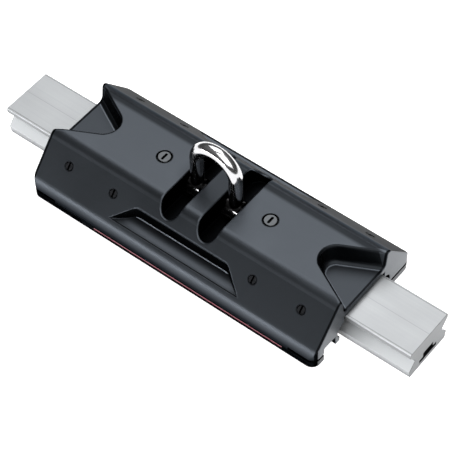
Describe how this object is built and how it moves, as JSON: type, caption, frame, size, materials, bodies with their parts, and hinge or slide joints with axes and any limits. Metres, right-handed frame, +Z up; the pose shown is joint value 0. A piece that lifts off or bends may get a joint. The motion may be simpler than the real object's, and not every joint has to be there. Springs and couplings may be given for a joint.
{
  "type": "track car",
  "caption": "Low black anodised track car on a short grooved rail, with end scoops, a swinging polished steel bail and recirculating balls",
  "frame": {"origin": "centre of the rail's underside, the rail lying flat", "axes": "X along the rail and the carriage's length, Y across the rail, Z up from the deck"},
  "size_m": [0.264, 0.083, 0.0655],
  "materials": {
    "black_anodised": "satin black hard anodising on machined aluminium",
    "clear_aluminium": "clear anodised extrusion, satin",
    "hard_anodised": "dark grey hard anodising, satin",
    "polished_steel": "polished stainless steel",
    "dark_screw": "blackened stainless steel",
    "black_plastic": "moulded black acetal",
    "ball_plastic": "natural white bearing plastic"
  },
  "bodies": {
    "rail": {"track_rail": "clear_aluminium"},
    "car": {"car_body": "black_anodised", "bail_pin": "polished_steel", "race_plate_near": "black_anodised", "race_strip_near": "hard_anodised", "turn_guide_near_left": "black_plastic", "turn_guide_near_right": "black_plastic", "strip_screw_near_1": "dark_screw", "strip_screw_near_2": "dark_screw", "strip_screw_near_3": "dark_screw", "strip_screw_near_4": "dark_screw", "plate_screws_near": "dark_screw", "race_plate_far": "black_anodised", "race_strip_far": "hard_anodised", "turn_guide_far_left": "black_plastic", "turn_guide_far_right": "black_plastic", "strip_screw_far_1": "dark_screw", "strip_screw_far_2": "dark_screw", "strip_screw_far_3": "dark_screw", "strip_screw_far_4": "dark_screw", "plate_screws_far": "dark_screw", "pin_screw_left": "dark_screw", "pin_screw_right": "dark_screw", "ball_train_near": "ball_plastic", "ball_train_far": "ball_plastic"},
    "bail_link": {"bail": "polished_steel"}
  },
  "joints": [
    {"name": "car_slide", "type": "slide", "parent": "rail", "child": "car", "axis": [1, 0, 0], "range_m": [-0.038, 0.038]},
    {"name": "bail_swing", "type": "hinge", "parent": "car", "child": "bail_link", "pos_m": [0, 0, 0.0273], "axis": [1, 0, 0], "range_deg": [-75, 75]}
  ]
}
